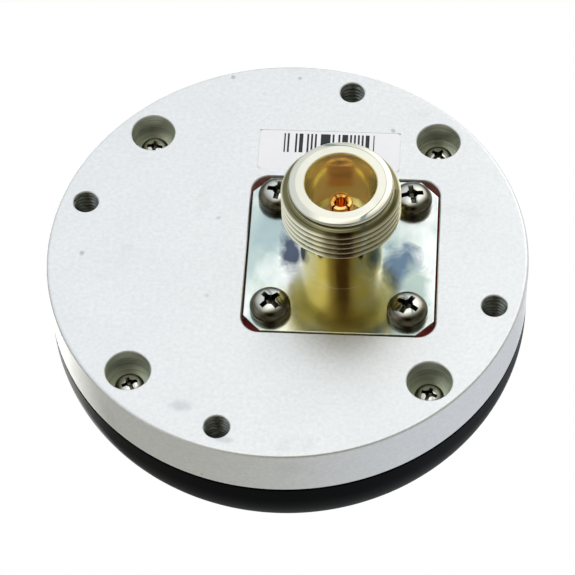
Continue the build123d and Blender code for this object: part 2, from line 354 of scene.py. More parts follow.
def on_circle(radius, count, first=0.0):
    """Centres of equally spaced points on a circle."""
    angles = [(first + 360 * i / count) * DEG for i in range(count)]
    return [(radius * cos(a), radius * sin(a)) for a in angles]


def smooth(piece, angle=32):
    """Smooth shading with crisp corners, and flat faces kept flat."""
    pick(piece)
    bpy.ops.object.shade_smooth_by_angle(angle=angle * DEG)
    return use(piece, "WEIGHTED_NORMAL", keep_sharp=True)


CASE_CENTRES = on_circle(CASE_CIRCLE, 4, 45)
MOUNT_CENTRES = on_circle(MOUNT_CIRCLE, 4, MOUNT_FIRST)
FLANGE_CENTRES = [
    (JACK_X + sx * FLANGE_PITCH / 2, sy * FLANGE_PITCH / 2) for sx in (-1, 1) for sy in (-1, 1)
]


# ---------------------------------------------------------------- materials
# places of the colours among a Mix node's sockets, where names repeat
MIX_COLOURS = (6, 7)
MIX_RESULT = 2


def mixed(tree, share, under, over):
    """A colour between two others, by share, in a material's or the world's nodes."""
    made = tree.nodes.new("ShaderNodeMix")
    made.data_type = "RGBA"
    tree.links.new(share, made.inputs["Factor"])
    for place, value in zip(MIX_COLOURS, (under, over)):
        if isinstance(value, tuple):
            made.inputs[place].default_value = (*value, 1)
        else:
            tree.links.new(value, made.inputs[place])
    return made.outputs[MIX_RESULT]


class Finish:
    """A material built from object coordinates, with its Principled shader at hand."""

    def __init__(self, name, colour, metallic=0.0, roughness=0.5):
        self.material = bpy.data.materials.new(name)
        self.material.use_nodes = True
        self.nodes = self.material.node_tree.nodes
        self.links = self.material.node_tree.links
        self.shader = self.nodes["Principled BSDF"]
        self.shader.inputs["Base Color"].default_value = (*colour, 1)
        self.shader.inputs["Metallic"].default_value = metallic
        self.shader.inputs["Roughness"].default_value = roughness
        self.place = self.node("ShaderNodeTexCoord").outputs["Object"]
        self.height = None

    def node(self, kind, **settings):
        made = self.nodes.new(kind)
        for key, value in settings.items():
            setattr(made, key, value)
        return made

    def stretched(self, scale, centre=(0, 0, 0)):
        """Object coordinates, scaled along each axis and then moved."""
        mapping = self.node("ShaderNodeMapping")
        self.links.new(self.place, mapping.inputs["Vector"])
        mapping.inputs["Scale"].default_value = scale
        mapping.inputs["Location"].default_value = centre
        return mapping.outputs["Vector"]

    def noise(self, size_mm, detail=4.0, rough=0.55, place=None, distortion=0.0):
        """Noise whose grains are about this many millimetres across."""
        made = self.node("ShaderNodeTexNoise")
        made.inputs["Scale"].default_value = 1 / (size_mm * MM)
        made.inputs["Detail"].default_value = detail
        made.inputs["Roughness"].default_value = rough
        made.inputs["Distortion"].default_value = distortion
        self.links.new(place or self.place, made.inputs["Vector"])
        return made.outputs["Fac"]

    def ranged(self, value, low, high, to_low=0.0, to_high=1.0):
        """A value moved from one range to another and held inside it."""
        made = self.node("ShaderNodeMapRange")
        self.links.new(value, made.inputs["Value"])
        for socket, number in zip(("From Min", "From Max", "To Min", "To Max"), (low, high, to_low, to_high)):
            made.inputs[socket].default_value = number
        return made.outputs["Result"]

    def maths(self, operation, a, b=None, clamp=False):
        made = self.node("ShaderNodeMath", operation=operation, use_clamp=clamp)
        for socket, value in zip(made.inputs, (a, b)):
            if isinstance(value, (int, float)):
                socket.default_value = value
            elif value is not None:
                self.links.new(value, socket)
        return made.outputs["Value"]

    def blend(self, share, under, over):
        return mixed(self.material.node_tree, share, under, over)

    def axes(self):
        """The three object coordinates."""
        made = self.node("ShaderNodeSeparateXYZ")
        self.links.new(self.place, made.inputs["Vector"])
        return made.outputs["X"], made.outputs["Y"], made.outputs["Z"]

    def reach(self, place):
        """Length of a vector, which is the distance from a centre on placed coordinates."""
        made = self.node("ShaderNodeVectorMath", operation="LENGTH")
        self.links.new(place, made.inputs[0])
        return made.outputs["Value"]

    def oval(self, x, y, half_x, half_y, ragged):
        """1 inside an uneven oval on the face, 0 outside it; sizes in millimetres."""
        scale = (1 / (half_x * MM), 1 / (half_y * MM), 0)
        away = self.reach(self.stretched(scale, (-x / half_x, -y / half_y, 0)))
        return self.ranged(self.maths("ADD", away, ragged), 0.55, 1.35, 1, 0)

    def colour(self, value):
        self.links.new(value, self.shader.inputs["Base Color"])

    def roughness(self, value):
        self.links.new(value, self.shader.inputs["Roughness"])

    def relief(self, value, depth_mm, strength=1.0):
        """Bump of this depth, laid on any relief that is there already."""
        made = self.node("ShaderNodeBump")
        made.inputs["Distance"].default_value = depth_mm * MM
        made.inputs["Strength"].default_value = strength
        self.links.new(value, made.inputs["Height"])
        if self.height is not None:
            self.links.new(self.height, made.inputs["Normal"])
        self.height = made.outputs["Normal"]
        self.links.new(self.height, self.shader.inputs["Normal"])


def plain_finish(name, colour, shade, metallic, rough, patch_mm, grain_mm, grain_depth):
    """A finish with soft patches of colour and gloss, and a fine grain."""
    made = Finish(name, colour, metallic, rough)
    patches = made.noise(patch_mm)
    made.colour(made.blend(made.ranged(patches, 0.35, 0.65), colour, shade))
    made.roughness(made.ranged(patches, 0.3, 0.7, rough * 0.85, min(1.0, rough * 1.2)))
    made.relief(made.noise(grain_mm, 3), grain_depth)
    return made.material


# soft scuffs on the mounting face: centre, half size along X and along Y
FACE_SCUFFS = ((-12.4, 25.0, 1.4, 0.8), (-6.4, 30.0, 1.1, 0.5), (-10.3, 7.4, 0.3, 0.3))


def satin_aluminium():
    """Tumbled face with faint clouds, grain and small pits; holes with turning rings, painted darker and
    olive as shade.
    """
    made = Finish("satin_aluminium", (0.86, 0.86, 0.85), 0.85, 0.36)
    clouds = made.noise(9, 5, 0.6, distortion=0.4)
    tint = made.blend(made.ranged(clouds, 0.35, 0.7), (0.92, 0.92, 0.91), (0.89, 0.895, 0.89))
    grain = made.noise(0.55, 5, 0.65)
    tint = made.blend(made.ranged(grain, 0.35, 0.7, 0, 0.8), tint, (0.78, 0.785, 0.78))
    smudge = made.noise(11, 4, 0.6, made.stretched((1, 1, 1), (0.013, 0.004, 0)))
    tint = made.blend(made.ranged(smudge, 0.6, 0.75, 0, 0.35), tint, (0.62, 0.60, 0.57))
    cells = made.node("ShaderNodeTexVoronoi", feature="F1")
    cells.inputs["Scale"].default_value = 1 / (4.6 * MM)
    made.links.new(made.place, cells.inputs["Vector"])
    rare = made.node("ShaderNodeSeparateColor")
    made.links.new(cells.outputs["Color"], rare.inputs["Color"])
    chosen = made.ranged(rare.outputs["Red"], 0.86, 0.9)
    dot = made.ranged(cells.outputs["Distance"], 0.045, 0.1, 1, 0)
    pit = made.maths("MULTIPLY", chosen, dot)
    tint = made.blend(made.maths("MULTIPLY", pit, 0.55), tint, (0.35, 0.34, 0.33))
    ragged = made.ranged(made.noise(1.1, 5, 0.6), 0.3, 0.7, -0.5, 0.5)
    for x, y, half_x, half_y in FACE_SCUFFS:
        scuff = made.oval(x, y, half_x, half_y, ragged)
        tint = made.blend(made.maths("MULTIPLY", scuff, 0.34), tint, (0.36, 0.40, 0.45))
    # inside the holes: real turning rings, and a darker olive tone that is painted shade
    deep = made.ranged(made.axes()[2], 0.13 * MM, 0.5 * MM)
    inside = made.maths("LESS_THAN", made.reach(made.stretched((1, 1, 0))), (BODY_R - 0.4) * MM)
    hole = made.maths("MULTIPLY", deep, inside)
    rings = made.noise(0.5, 2, 0.5, made.stretched((0.04, 0.04, 2.2)))
    machined_tone_and_shade = made.blend(made.ranged(rings, 0.4, 0.6), (0.62, 0.65, 0.54), (0.90, 0.92, 0.80))
    made.colour(made.blend(hole, tint, machined_tone_and_shade))
    made.roughness(made.ranged(clouds, 0.3, 0.7, 0.35, 0.38))
    made.relief(made.noise(0.35, 6, 0.7), 0.012)
    made.relief(made.noise(1.6, 5, 0.75, made.stretched((0.05, 0.05, 9))), 0.01)
    made.relief(made.maths("SUBTRACT", 1.0, pit), 0.04)
    return made.material


# painted reflections on the mirror-like flange: centre from the barrel, half size along X and along Y, colour
FLANGE_REFLECTIONS = (
    (-9.6, -3.6, 2.4, 3.8, (0.42, 0.52, 0.52)),
    (-6.9, -1.0, 1.3, 3.6, (0.08, 0.10, 0.14)),
    (8.2, 1.6, 2.6, 3.2, (0.15, 0.22, 0.30)),
    (10.2, 4.6, 1.8, 3.6, (0.48, 0.58, 0.52)),
    (-1.5, 9.0, 7.6, 4.4, (0.90, 0.82, 0.42)),
)


def nickel_plate():
    """Bright nickel with painted light: a warm reflection down the barrel, highlights on the thread's crests,
    shade in its roots and groove, and reflections clouding the flange.
    """
    made = Finish("nickel_plate", (0.80, 0.77, 0.66), 1.0, 0.07)
    film = made.noise(5.5, 3, 0.5, distortion=0.8)
    z = made.axes()[2]
    radius = made.reach(made.stretched((1, 1, 0), (-JACK_X * MM, 0, 0)))
    ring = made.blend(made.ranged(film, 0.4, 0.62), (0.70, 0.68, 0.57), (0.76, 0.74, 0.63))
    # the barrel's olive yellow is a painted reflection of warm surroundings
    barrel = made.blend(made.ranged(film, 0.4, 0.62), (0.64, 0.55, 0.20), (0.56, 0.50, 0.24))
    tint = made.blend(made.ranged(z, (FRONT_Z + 0.6) * MM, (FRONT_Z + 2) * MM), ring, barrel)
    # thread: painted highlight on the crests, painted shade in the roots
    crest = made.ranged(radius, (THREAD_R - 0.34) * MM, (THREAD_R - 0.04) * MM)
    thread_glint_and_shade = made.blend(crest, (0.17, 0.155, 0.075), (0.84, 0.80, 0.60))
    ahead = made.maths("LESS_THAN", z, (NECK_Z - 0.3) * MM)
    outer = made.maths("GREATER_THAN", radius, (FRONT_RING_R + 0.1) * MM)
    tint = made.blend(made.maths("MULTIPLY", ahead, outer), tint, thread_glint_and_shade)
    # relief groove: painted shade
    groove = made.maths("ABSOLUTE", made.maths("SUBTRACT", z, (RELIEF_LOW + 0.15) * MM))
    tint = made.blend(made.maths("LESS_THAN", groove, 0.22 * MM), tint, (0.16, 0.15, 0.08))
    # flange: the clouds and coloured ovals are painted reflections of its surroundings and of the barrel
    clouds = made.noise(11, 4, 0.5, made.stretched((1.3, 0.7, 1), (0.021, 0.037, 0)), 0.3)
    flange = made.blend(made.ranged(clouds, 0.42, 0.62), (0.93, 0.94, 0.90), (0.52, 0.62, 0.58))
    ragged = made.ranged(made.noise(3.5, 4, 0.6, None, 0.5), 0.3, 0.7, -0.45, 0.45)
    for x, y, half_x, half_y, mottle in FLANGE_REFLECTIONS:
        flange = made.blend(made.oval(JACK_X + x, y, half_x, half_y, ragged), flange, mottle)
    plate = made.ranged(z, 0.03 * MM, 0.09 * MM)
    made.colour(made.blend(plate, tint, flange))
    gloss = made.ranged(film, 0.3, 0.7, 0.05, 0.11)
    made.roughness(made.maths("ADD", gloss, made.maths("MULTIPLY", plate, 0.12)))
    made.relief(made.maths("MULTIPLY", plate, made.noise(7.5, 2, 0.4)), 0.17)
    made.relief(made.noise(2.2, 2, 0.4), 0.004)
    made.relief(made.noise(0.3, 4), 0.0012)
    return made.material


def bore_painted_bounce_light():
    """The same plating inside the socket, painted brighter and yellower as light bouncing around the bore."""
    made = Finish("bore_painted_bounce_light", (0.93, 0.85, 0.50), 0.87, 0.17)
    film = made.noise(2.5, 3, 0.5)
    made.colour(made.blend(made.ranged(film, 0.4, 0.62), (1.0, 0.92, 0.52), (0.97, 0.84, 0.42)))
    made.relief(made.noise(0.8, 3), 0.002)
    return made.material


def shaded_thread():
    """Cut thread flanks, painted dark as the shade inside the tapped holes."""
    made = Finish("shaded_thread", (0.22, 0.24, 0.23), 1.0, 0.30)
    shade_patches = made.noise(0.8, 3)
    made.colour(made.blend(made.ranged(shade_patches, 0.35, 0.65), (0.26, 0.28, 0.26), (0.13, 0.145, 0.14)))
    made.relief(made.noise(0.2, 3), 0.004)
    return made.material


def radome_plastic():
    """Satin black moulding with a very fine texture."""
    made = Finish("radome_plastic", (0.0025, 0.0025, 0.003), 0.0, 0.34)
    made.shader.inputs["Specular IOR Level"].default_value = 0.02
    made.shader.inputs["Specular Tint"].default_value = (0.75, 0.85, 1.0, 1)
    sheen = made.noise(14, 3)
    made.colour(made.blend(made.ranged(sheen, 0.3, 0.7), (0.0015, 0.0015, 0.002), (0.003, 0.003, 0.0035)))
    made.roughness(made.ranged(sheen, 0.3, 0.7, 0.32, 0.42))
    made.relief(made.noise(0.28, 3, 0.6), 0.008)
    made.relief(made.noise(2.5, 2, 0.5), 0.005)
    return made.material


def label_film():
    """White film with a row of plain dark bars and no lettering."""
    made = Finish("label_film", (0.97, 0.95, 0.96), 0.45, 0.36)
    x, y = made.axes()[:2]
    column = made.maths("FLOOR", made.maths("DIVIDE", x, LABEL_BAR_W * MM))
    random = made.node("ShaderNodeTexWhiteNoise", noise_dimensions="1D")
    made.links.new(column, random.inputs["W"])
    odd = made.maths("FLOORED_MODULO", column, 2.0)
    bar = made.maths("GREATER_THAN", random.outputs["Value"], made.ranged(odd, 0, 1, 0.12, 0.72))
    left, right = (LABEL_LOW.x + 3.4) * MM, (LABEL_LOW.x + 15.9) * MM
    low, high = (LABEL_LOW.y + 0.5) * MM, (LABEL_LOW.y + 3.8) * MM
    for value, first, last in ((x, left, right), (y, low, high)):
        bar = made.maths("MULTIPLY", bar, made.maths("GREATER_THAN", value, first))
        bar = made.maths("MULTIPLY", bar, made.maths("LESS_THAN", value, last))
    paper = made.blend(made.ranged(made.noise(3), 0.3, 0.7), (0.99, 0.965, 0.975), (0.95, 0.93, 0.945))
    made.colour(made.blend(bar, paper, (0.03, 0.03, 0.032)))
    made.relief(made.noise(0.6, 3), 0.004)
    return made.material


def screw_steel_painted_light():
    """Pan head screws painted dark as the dark reflections on their polished heads, with a painted highlight
    on the crowns of the heads.
    """
    made = Finish("screw_steel_painted_light", (0.14, 0.13, 0.10), 1.0, 0.10)
    mottle = made.noise(1.4, 4)
    tint = made.blend(made.ranged(mottle, 0.35, 0.65), (0.15, 0.135, 0.095), (0.06, 0.052, 0.036))
    z = made.axes()[2]
    # crown: painted highlight of a bright panel on the centre of each head
    on_flange = made.ranged(z, (FLANGE_LOW.z + 0.10) * MM, (FLANGE_LOW.z + 0.40) * MM, 1, 0)
    deep = made.maths("GREATER_THAN", z, 1.0 * MM)
    in_case = made.ranged(z, (CASE_LOW.z + 0.09) * MM, (CASE_LOW.z + 0.32) * MM, 1, 0)
    crown = made.maths("ADD", on_flange, made.maths("MULTIPLY", deep, in_case), clamp=True)
    made.colour(made.blend(crown, tint, (0.66, 0.66, 0.59)))
    made.roughness(made.ranged(mottle, 0.3, 0.7, 0.08, 0.18))
    made.relief(made.noise(0.25, 3), 0.004)
    return made.material


def shaded_driver_recess():
    """The cross that the driver fits, painted dark as the shade in the recess, with lighter patches."""
    made = Finish("shaded_driver_recess", (0.10, 0.10, 0.085), 1.0, 0.32)
    wear = made.noise(0.5, 3)
    made.colour(made.blend(made.ranged(wear, 0.45, 0.7), (0.07, 0.07, 0.055), (0.34, 0.33, 0.27)))
    made.relief(made.noise(0.15, 3), 0.004)
    return made.material


def gold_plate():
    """Reddish gold, a little worn where the pin has rubbed."""
    made = Finish("gold_plate", (0.98, 0.58, 0.20), 1.0, 0.14)
    worn = made.noise(0.9, 4)
    made.colour(made.blend(made.ranged(worn, 0.35, 0.65), (1.0, 0.60, 0.20), (0.92, 0.44, 0.12)))
    made.roughness(made.ranged(worn, 0.3, 0.7, 0.11, 0.22))
    made.relief(made.noise(0.2, 3), 0.003)
    return made.material


FINISHES = {
    "base_aluminium": satin_aluminium(),
    "radome_black": radome_plastic(),
    "nickel_plate": nickel_plate(),
    "gold_plate": gold_plate(),
    "shaded_driver_recess": shaded_driver_recess(),
    "bore_painted_bounce_light": bore_painted_bounce_light(),
    "shaded_thread": shaded_thread(),
    "screw_steel": screw_steel_painted_light(),
    "label_white": label_film(),
}

# finishes of the plainer pieces: name, colour, shade of its patches, metallic, roughness,
# and in millimetres the patches, the grain and the grain's depth
PLAIN_FINISHES = {
    # ptfe: its orange tone is painted warm light from the gold contact
    "ptfe": ("ptfe", (0.96, 0.74, 0.40), (0.94, 0.68, 0.32), 0, 0.42, 2, 0.3, 0.004),
    "gasket_red": ("red_silicone", (0.40, 0.010, 0.012), (0.26, 0.006, 0.008), 0, 0.5, 1.5, 0.3, 0.01),
    "seal_black": ("black_rubber", (0.02, 0.02, 0.02), (0.035, 0.034, 0.033), 0, 0.7, 3, 0.3, 0.01),
    "insert_brass": ("insert_brass", (0.78, 0.58, 0.26), (0.66, 0.46, 0.18), 1, 0.28, 1, 0.2, 0.006),
    "standoff_brass": ("standoff_brass", (0.80, 0.66, 0.38), (0.68, 0.54, 0.28), 1, 0.24, 2, 0.2, 0.005),
    "board_green": ("solder_mask", (0.02, 0.14, 0.06), (0.012, 0.10, 0.045), 0, 0.3, 4, 0.4, 0.008),
    "can_tin": ("tin_plate", (0.74, 0.74, 0.72), (0.60, 0.60, 0.58), 1, 0.3, 3, 0.3, 0.006),
    "chip_black": ("chip_epoxy", (0.025, 0.025, 0.027), (0.05, 0.05, 0.05), 0, 0.55, 1, 0.1, 0.004),
    "adhesive_film": ("adhesive_film", (0.78, 0.74, 0.62), (0.70, 0.66, 0.54), 0, 0.5, 3, 0.4, 0.01),
    "patch_ceramic": ("patch_ceramic", (0.66, 0.52, 0.36), (0.58, 0.45, 0.30), 0, 0.6, 2, 0.25, 0.01),
    "silver_film": ("silver_film", (0.86, 0.85, 0.82), (0.72, 0.70, 0.66), 1, 0.38, 2, 0.2, 0.008),
    "foam_grey": ("grey_foam", (0.13, 0.13, 0.135), (0.08, 0.08, 0.085), 0, 0.9, 1, 0.4, 0.08),
}

for material_slot, row in PLAIN_FINISHES.items():
    FINISHES[material_slot] = plain_finish(*row)


def seat(piece, slot, *nodes):
    """A finished piece takes its material and rides on the antenna in place of its node."""
    if not piece.data.materials:
        piece.data.materials.append(FINISHES[slot])
    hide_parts(*nodes)
    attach(piece, "root")
    return piece


# ---------------------------------------------------------------- aluminium base
def mounting_thread_hole():
    """Tapped hole: a narrow mouth with a broken edge, the thread's full width, and a pointed end."""
    point = MOUNT_DEPTH + MOUNT_DRILL_R / tan(59 * DEG)
    mouth = MOUNT_DRILL_R + 0.06
    return [
        (mouth + 0.24, -0.12), (mouth, 0.12), (mouth, 0.28), (MOUNT_THREAD_R, 0.42),
        (MOUNT_THREAD_R, MOUNT_DEPTH - 0.8), (MOUNT_DRILL_R, MOUNT_DEPTH - 0.5),
        (MOUNT_DRILL_R, MOUNT_DEPTH), (0.02, point),
    ]


def mounting_threads():
    """Threads that stand out of the holes' walls."""
    root, crest, flat = MOUNT_THREAD_R + 0.06, MOUNT_DRILL_R, 0.16
    thread = ridge("thread", root, crest, flat, MOUNT_PITCH, MOUNT_THREAD_LOW, MOUNT_TURNS, steps=48)
    thread.data.materials.append(FINISHES["shaded_thread"])
    return copies(thread, MOUNT_CENTRES, MOUNT_STARTS)


def pocket_cutter():
    """Square pocket with round corners and a lightly broken edge."""
    half = POCKET_SIDE / 2
    cutter = block("pocket_cutter", (-half, -half, MOUTH_EDGE), (half, half, POCKET_DEPTH))
    bevel_edges(cutter, upright, POCKET_CORNER, 10)
    choose_faces(cutter, lambda face: face.normal.z < -0.9)
    bpy.ops.mesh.extrude_region_move(TRANSFORM_OT_translate={"value": (0, 0, -2 * MOUTH_EDGE * MM)})
    wide = (half + 2 * MOUTH_EDGE) / half
    bpy.ops.transform.resize(value=(wide, wide, 1), center_override=(0, 0, -MOUTH_EDGE * MM))
    bpy.ops.object.mode_set(mode="OBJECT")
    cutter.location.x = JACK_X * MM
    return settle(cutter)


def stepped_hole(name, steps, centre, sides=64):
    """Round hole whose mouth on the face is lightly broken; steps are (radius, depth)."""
    radius = steps[0][0]
    outline = [(radius + 2 * MOUTH_EDGE, -MOUTH_EDGE), (radius, MOUTH_EDGE)]
    for i, (r, depth) in enumerate(steps):
        outline.append((r, depth))
        if i + 1 < len(steps):
            outline.append((steps[i + 1][0], depth))
    return turned(name, outline, centre, sides)


def base_piece():
    """Base with its seal groove, recess, pocket and holes."""
    outline = arc(BODY_R - RIM_EDGE, RIM_EDGE, RIM_EDGE, -90, 0, 6)
    outline += [(BODY_R, BASE_H - SEAM_EDGE), (BODY_R - SEAM_EDGE, BASE_H)]
    groove_in, groove_out = SEAL_GROOVE_R
    groove_floor = BASE_H - SEAL_GROOVE_DEPTH
    outline += [(groove_out, BASE_H), (groove_out, groove_floor)]
    outline += [(groove_in, groove_floor), (groove_in, BASE_H)]
    outline += [(RECESS_R, BASE_H), (RECESS_R, RECESS_FLOOR)]
    base = turned("satin_base", outline, sides=256)
    cut(base, pocket_cutter())
    cut(base, turned("signal", [(SIGNAL_HOLE_R, 1), (SIGNAL_HOLE_R, BASE_H)], (JACK_X, 0), 48))
    for centre in FLANGE_CENTRES:
        cut(base, turned("screw", [(FLANGE_TAP_R, 1), (FLANGE_TAP_R, FLANGE_TAP_END)], centre, 48))
    for centre in CASE_CENTRES:
        steps = [(COUNTERBORE_R, CASE_SEAT), (CASE_HOLE_R, BASE_H + 1)]
        cut(base, stepped_hole("counterbore", steps, centre))
    for centre in on_circle(STUD_CIRCLE, 4):
        cut(base, turned("stud", [(STUD_HOLE_R, STUD_HOLE_LOW), (STUD_HOLE_R, BASE_H)], centre, 48))
    for centre in MOUNT_CENTRES:
        cut(base, turned("tapped_hole", mounting_thread_hole(), centre, 64))
    low = (LABEL_LOW.x - LABEL_GAP, LABEL_LOW.y - LABEL_GAP, -1)
    high = (LABEL_HIGH.x + LABEL_GAP, LABEL_HIGH.y + LABEL_GAP, LABEL_HIGH.z)
    cut(base, block("label_cutter", low, high))
    base.data.materials.append(FINISHES["base_aluminium"])
    return smooth(joined(base, mounting_threads()))


# ---------------------------------------------------------------- radome
def dome_outline(inset):
    """Half section of the dome, inset by a wall, from the straight side up to the crown."""
    shoulder_z = BASE_H + RADOME_SIDE_H
    rise = RADOME_HIGH.z - shoulder_z
    shoulder_r = (2 * rise * CROWN_R - BODY_R**2 - rise**2) / (2 * (CROWN_R - BODY_R))
    crown_z = RADOME_HIGH.z - CROWN_R
    x = BODY_R - shoulder_r
    lean = hypot(x, shoulder_z - crown_z)
    tilt = acos(x / lean) / DEG
    outline = arc(x, shoulder_z, shoulder_r - inset, 0, tilt, 28)
    crown = arc(0, crown_z, CROWN_R - inset, tilt, 89.9, 24)
    return outline + crown[1:]


def radome_piece():
    """Hollow dome with four bosses."""
    outside = [(BODY_R - SEAM_EDGE, BASE_H), (BODY_R, BASE_H + SEAM_EDGE)] + dome_outline(0)
    shell = turned("black_radome", outside, sides=256)
    bore = BODY_R - RADOME_WALL
    cut(shell, turned("cavity", [(bore, BASE_H - 1)] + dome_outline(RADOME_WALL), sides=128))
    for centre in CASE_CENTRES:
        add(shell, turned("boss", [(BOSS_R, BASE_H), (BOSS_R, BOSS_TOP)], centre, 48))
        bore_steps = [(INSERT_BORE_R, BASE_H - 1), (INSERT_BORE_R, INSERT_HIGH.z)]
        bore_steps += [(TIP_BORE_R, INSERT_HIGH.z), (TIP_BORE_R, TIP_BORE_END)]
        cut(shell, turned("boss_bore", bore_steps, centre, 32))
    return smooth(shell)


# ---------------------------------------------------------------- flanged socket
def head_thread():
    """The head's thread, trimmed by the cones at its start and end."""
    root, crest, flat = THREAD_ROOT_R - 0.09, THREAD_R, 0.14
    axis = (JACK_X, 0)
    thread = ridge("head_thread", root, crest, flat, THREAD_PITCH, THREAD_START, THREAD_TURNS, axis, 90)
    wide = THREAD_R + 0.2
    envelope = [(6.9, -15.4), (7.0, -15.3), (wide, -14.7), (wide, -9.7), (6.5, NECK_Z)]
    return trim(thread, turned("envelope", envelope, axis, 100))


def jack_outline():
    """Half section of the front ring, relief groove, head and barrel."""
    lip = 0.3
    outline = [(5.9, FRONT_Z), (6.2, FRONT_Z + 0.05)]
    outline += arc(FRONT_RING_R - lip, FRONT_Z + 0.18 + lip, lip, -75, 0, 6)
    outline += [(FRONT_RING_R, FRONT_Z + 0.6), (RELIEF_R, RELIEF_LOW), (RELIEF_R, RELIEF_HIGH)]
    outline += [(THREAD_ROOT_R, RELIEF_HIGH + 0.25), (THREAD_ROOT_R, HEAD_BACK_Z)]
    outline += [(HEAD_BACK_R, NECK_Z), (BARREL_R, NECK_Z), (BARREL_R, FLANGE_FACE + 0.5)]
    return outline


def bore_outline():
    """Half section of the tapered mouth, the bore and the insulator's stepped hole."""
    lip = 0.12
    outline = [(MOUTH_R + lip + 0.1, FRONT_Z - 0.1), (MOUTH_R + lip, FRONT_Z), (MOUTH_R, FRONT_Z + lip)]
    outline += [(MOUTH_R, FRONT_Z + MOUTH_DEPTH), (JACK_BORE_R, FRONT_Z + TAPER_END)]
    outline += [(JACK_BORE_R, CONTACT_PLANE), (INSULATOR_R, CONTACT_PLANE), (INSULATOR_R, INSULATOR_STEP)]
    outline += [(INSULATOR_REAR_R, INSULATOR_STEP), (INSULATOR_REAR_R, 3)]
    return outline


def jack_piece():
    """Socket: flange and barrel, bored out, with its thread."""
    half = FLANGE_SIDE / 2
    low = (JACK_X - half, -half, FLANGE_FACE)
    flange = block("nickel_jack", low, (JACK_X + half, half, JACK_HIGH.z))
    bevel_edges(flange, upright, FLANGE_CORNER, 1)
    bevel_edges(flange, lambda a, b: max(a.z, b.z) < FLANGE_FACE + 0.01, FLANGE_EDGE, 3)
    for centre in FLANGE_CENTRES:
        cut(flange, turned("screw_hole", [(FLANGE_HOLE_R, -1), (FLANGE_HOLE_R, 3)], centre, 48))
    add(flange, turned("barrel", jack_outline(), (JACK_X, 0)))
    flange.data.materials.append(FINISHES["nickel_plate"])
    cutter = turned("bore", bore_outline(), (JACK_X, 0))
    cutter.data.materials.append(FINISHES["bore_painted_bounce_light"])
    combine(flange, cutter, "DIFFERENCE", material_mode="TRANSFER")
    thread = head_thread()
    thread.data.materials.append(FINISHES["nickel_plate"])
    return smooth(joined(flange, thread))


def contact_piece():
    """Hollow contact split into four fingers, on its stem and pin."""
    tip = CONTACT_LOW.z
    anchor = CONTACT_PLANE + CONTACT_ANCHOR
    edge = 0.18
    outline = [(CONTACT_R - edge, tip), (CONTACT_R - 0.05, tip + 0.07)]
    outline += [(CONTACT_R, tip + edge), (CONTACT_R, anchor), (STEM_R, anchor), (STEM_R, INSULATOR_STEP)]
    outline += [(PIN_R, INSULATOR_STEP), (PIN_R, CONTACT_HIGH.z)]
    body = turned("gold_contact", outline, (JACK_X, 0), 64)
    mouth = [(CONTACT_BORE_R + 0.3, tip - 0.1), (CONTACT_BORE_R, tip + 0.2)]
    mouth += [(CONTACT_BORE_R, tip + CONTACT_BORE_DEPTH)]
    cut(body, turned("pin_bore", mouth, (JACK_X, 0), 48))
    wide, half = CONTACT_R + 0.5, CONTACT_SLOT_W / 2
    for turn in (45, 135):
        slot = block("slot", (-wide, -half, tip - 0.5), (wide, half, tip + CONTACT_SLOT_LENGTH))
        slot.rotation_euler.z = turn * DEG
        slot.location.x = JACK_X * MM
        cut(body, settle(slot))
    return smooth(body)


# ---------------------------------------------------------------- pan head screws
def cross_arm(name, reach, width, top, depth, turn):
    """One tapered arm of the cross recess."""
    arm = block(name, (-reach, -width, top - 0.3), (reach, width, top + depth))
    choose_faces(arm, lambda face: face.normal.z > 0.9)
    bpy.ops.transform.resize(value=(0.45, 0.7, 1), center_override=(0, 0, (top + depth) * MM))
    bpy.ops.object.mode_set(mode="OBJECT")
    arm.rotation_euler.z = turn * DEG
    return settle(arm)


def pan_screws(name, head_r, head_h, shank_r, seat_z, end_z, centres, turns):
    """Pan head screws with a cross recess; the heads point down."""
    top = seat_z - head_h
    low_side = HEAD_SIDE * head_h
    dome = head_h - low_side
    edge = 0.12
    outline = []
    for i in range(1, 13):
        a = 90 * i / 12 * DEG
        outline.append((head_r * sin(a) ** 0.9, seat_z - low_side - dome * cos(a) ** 0.85))
    outline += [(head_r, seat_z - edge), (head_r - edge, seat_z), (shank_r, seat_z)]
    outline += [(shank_r, end_z - 0.4), (shank_r - 0.35, end_z)]
    screw = turned(name, outline, sides=64)
    reach, width = CROSS_REACH * head_r, CROSS_HALF_W * head_r
    for turn in (0, 90):
        cut(screw, cross_arm("arm", reach, width, top, CROSS_DEPTH * head_h, turn))
    point = [(0.32 * head_r, top - 0.3), (0.27 * head_r, top + 0.1)]
    point += [(0.05 * head_r, top + POINT_DEPTH * head_h)]
    cut(screw, turned("point", point, sides=16))
    screw.data.materials.append(FINISHES["screw_steel"])
    screw.data.materials.append(FINISHES["shaded_driver_recess"])
    for face in screw.data.polygons:
        centre = face.center / MM
        skin = min(hypot(centre.xy.length - r, centre.z - z) for r, z in outline)
        if centre.z < seat_z - 0.1 and centre.xy.length < 0.62 * head_r and skin > 0.13 * head_h:
            face.material_index = 1
    return smooth(copies(screw, centres, turns), 40)


# ---------------------------------------------------------------- label
def label_piece():
    """Thin label with round corners."""
    label = block("white_label", LABEL_LOW, LABEL_HIGH)
    bevel_edges(label, upright, LABEL_CORNER, 5)
    return smooth(label)


